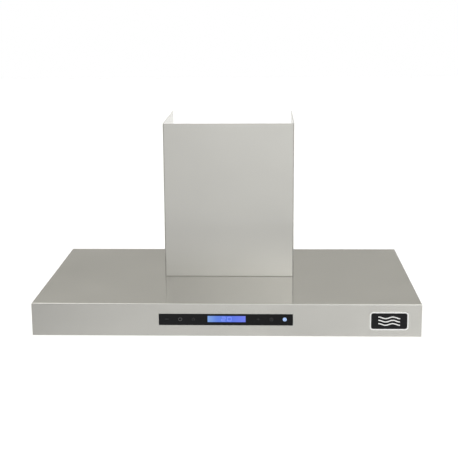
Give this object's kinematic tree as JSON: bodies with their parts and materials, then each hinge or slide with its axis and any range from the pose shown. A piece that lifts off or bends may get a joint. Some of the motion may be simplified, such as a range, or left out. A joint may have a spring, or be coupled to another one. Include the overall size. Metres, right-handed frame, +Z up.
{
  "type": "chimney range hood",
  "caption": "Wall-hung kitchen range hood: flat folded steel canopy, telescoping chimney cover, baffle filters, lamps, touch strip and a centrifugal blower with a damper.",
  "frame": {"origin": "on the wall plane, at the middle of the canopy's lower rear edge", "axes": "+X to the hood's right-hand side as seen from the room, +Y into the wall, +Z up"},
  "size_m": [0.914, 0.5612, 0.471],
  "materials": {
    "canopy_steel": "brushed across the width",
    "chimney_steel": "brushed across the width",
    "liner_steel": "plain satin",
    "filter_steel": "brushed along the vanes",
    "zinc_sheet": "galvanised",
    "aluminium": "die cast",
    "bright_metal": "polished",
    "black_glass": "glossy black glass, opaque",
    "display": "backlit blue",
    "lens": "frosted",
    "black_plastic": "moulded",
    "board": "circuit board",
    "black_rubber": "foam and cable sheath",
    "badge_black": "gloss enamel"
  },
  "bodies": {
    "hood": {"canopy_shell": "canopy_steel", "canopy_back_panel": "zinc_sheet", "underside_liner": "liner_steel", "grease_gutter": "liner_steel", "filter_clips": "bright_metal", "lamp_bezel_left": "bright_metal", "lamp_bezel_right": "bright_metal", "lamp_lens_left": "lens", "lamp_lens_right": "lens", "lamp_housing_left": "aluminium", "lamp_housing_right": "aluminium", "lamp_springs": "bright_metal", "control_glass": "black_glass", "control_display": "display", "control_housing": "black_plastic", "control_board": "board", "touch_springs": "bright_metal", "badge_rim": "bright_metal", "badge_plate": "badge_black", "blower_gasket": "black_rubber", "blower_case": "zinc_sheet", "blower_scroll": "zinc_sheet", "scroll_side_left": "zinc_sheet", "scroll_side_right": "zinc_sheet", "motor_body": "aluminium", "motor_bracket": "zinc_sheet", "motor_capacitor": "black_plastic", "power_box": "zinc_sheet", "power_board": "board", "lamp_driver": "black_plastic", "control_cable": "black_rubber", "lamp_cables": "black_rubber", "motor_cable": "black_rubber", "cord_bush": "black_plastic", "duct_collar": "zinc_sheet", "damper_rod": "bright_metal", "lower_chimney": "chimney_steel", "lower_bracket": "zinc_sheet", "blower_screws": "bright_metal", "chimney_screws": "bright_metal", "lower_bracket_screws": "bright_metal"},
    "upper_cover": {"upper_chimney": "chimney_steel", "upper_bracket": "zinc_sheet", "upper_bracket_screws": "bright_metal"},
    "rotor": {"impeller": "zinc_sheet", "motor_shaft": "bright_metal"},
    "flap_left": {"damper_flap_left": "zinc_sheet"},
    "flap_right": {"damper_flap_right": "zinc_sheet"},
    "filter_left": {"filter_frame_left": "filter_steel", "filter_lower_vanes_left": "filter_steel", "filter_upper_vanes_left": "filter_steel", "filter_handle_left": "bright_metal"},
    "filter_centre": {"filter_frame_centre": "filter_steel", "filter_lower_vanes_centre": "filter_steel", "filter_upper_vanes_centre": "filter_steel", "filter_handle_centre": "bright_metal"},
    "filter_right": {"filter_frame_right": "filter_steel", "filter_lower_vanes_right": "filter_steel", "filter_upper_vanes_right": "filter_steel", "filter_handle_right": "bright_metal"}
  },
  "joints": [
    {"name": "upper_cover_lift", "type": "slide", "parent": "hood", "child": "upper_cover", "axis": [0, 0, 1], "range_m": [0, 0.29]},
    {"name": "rotor_spin", "type": "hinge", "parent": "hood", "child": "rotor", "pos_m": [0, -0.172, 0.209], "axis": [1, 0, 0], "continuous": true},
    {"name": "flap_left_swing", "type": "hinge", "parent": "hood", "child": "flap_left", "pos_m": [0, -0.109, 0.363], "axis": [0, 1, 0], "range_deg": [0, 80]},
    {"name": "flap_right_swing", "type": "hinge", "parent": "hood", "child": "flap_right", "pos_m": [0, -0.109, 0.363], "axis": [0, -1, 0], "range_deg": [0, 80]},
    {"name": "filter_left_tilt", "type": "hinge", "parent": "hood", "child": "filter_left", "pos_m": [-0.286, -0.04, 0.0215], "axis": [1, 0, 0], "range_deg": [0, 60]},
    {"name": "filter_centre_tilt", "type": "hinge", "parent": "hood", "child": "filter_centre", "pos_m": [0, -0.04, 0.0215], "axis": [1, 0, 0], "range_deg": [0, 60]},
    {"name": "filter_right_tilt", "type": "hinge", "parent": "hood", "child": "filter_right", "pos_m": [0.286, -0.04, 0.0215], "axis": [1, 0, 0], "range_deg": [0, 60]}
  ]
}
